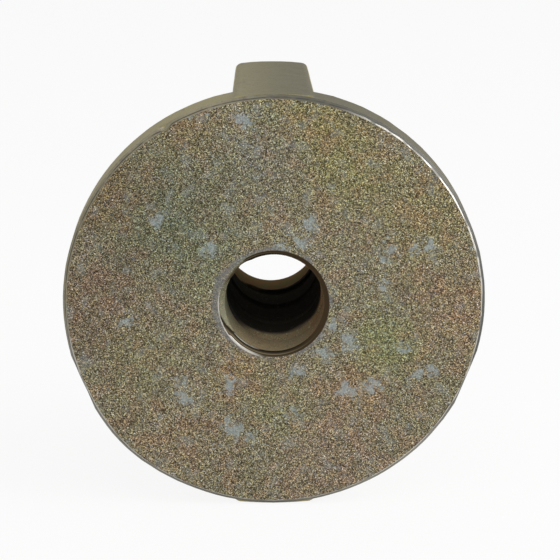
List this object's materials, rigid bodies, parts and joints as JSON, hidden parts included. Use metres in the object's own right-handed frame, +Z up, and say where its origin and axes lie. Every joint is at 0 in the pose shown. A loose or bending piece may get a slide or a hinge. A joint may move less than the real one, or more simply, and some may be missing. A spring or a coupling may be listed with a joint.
{
  "type": "formwork wing nut",
  "caption": "Forged flanged wing nut with a round bearing plate, a hub and two wings, tapped with a coarse thread for tie rods.",
  "frame": {"origin": "on the axis of the threaded bore, halfway between the bearing face and the hub's end", "axes": "+Y along the bore from the bearing face to the hub's end, +Z up through one wing, +X across the wings"},
  "size_m": [0.07, 0.05, 0.0702],
  "materials": {
    "plated_steel": "forged and blasted steel with yellow-passivated zinc plate, nearly black inside the thread"
  },
  "bodies": {
    "root": {"wing_nut": "plated_steel"}
  },
  "joints": []
}
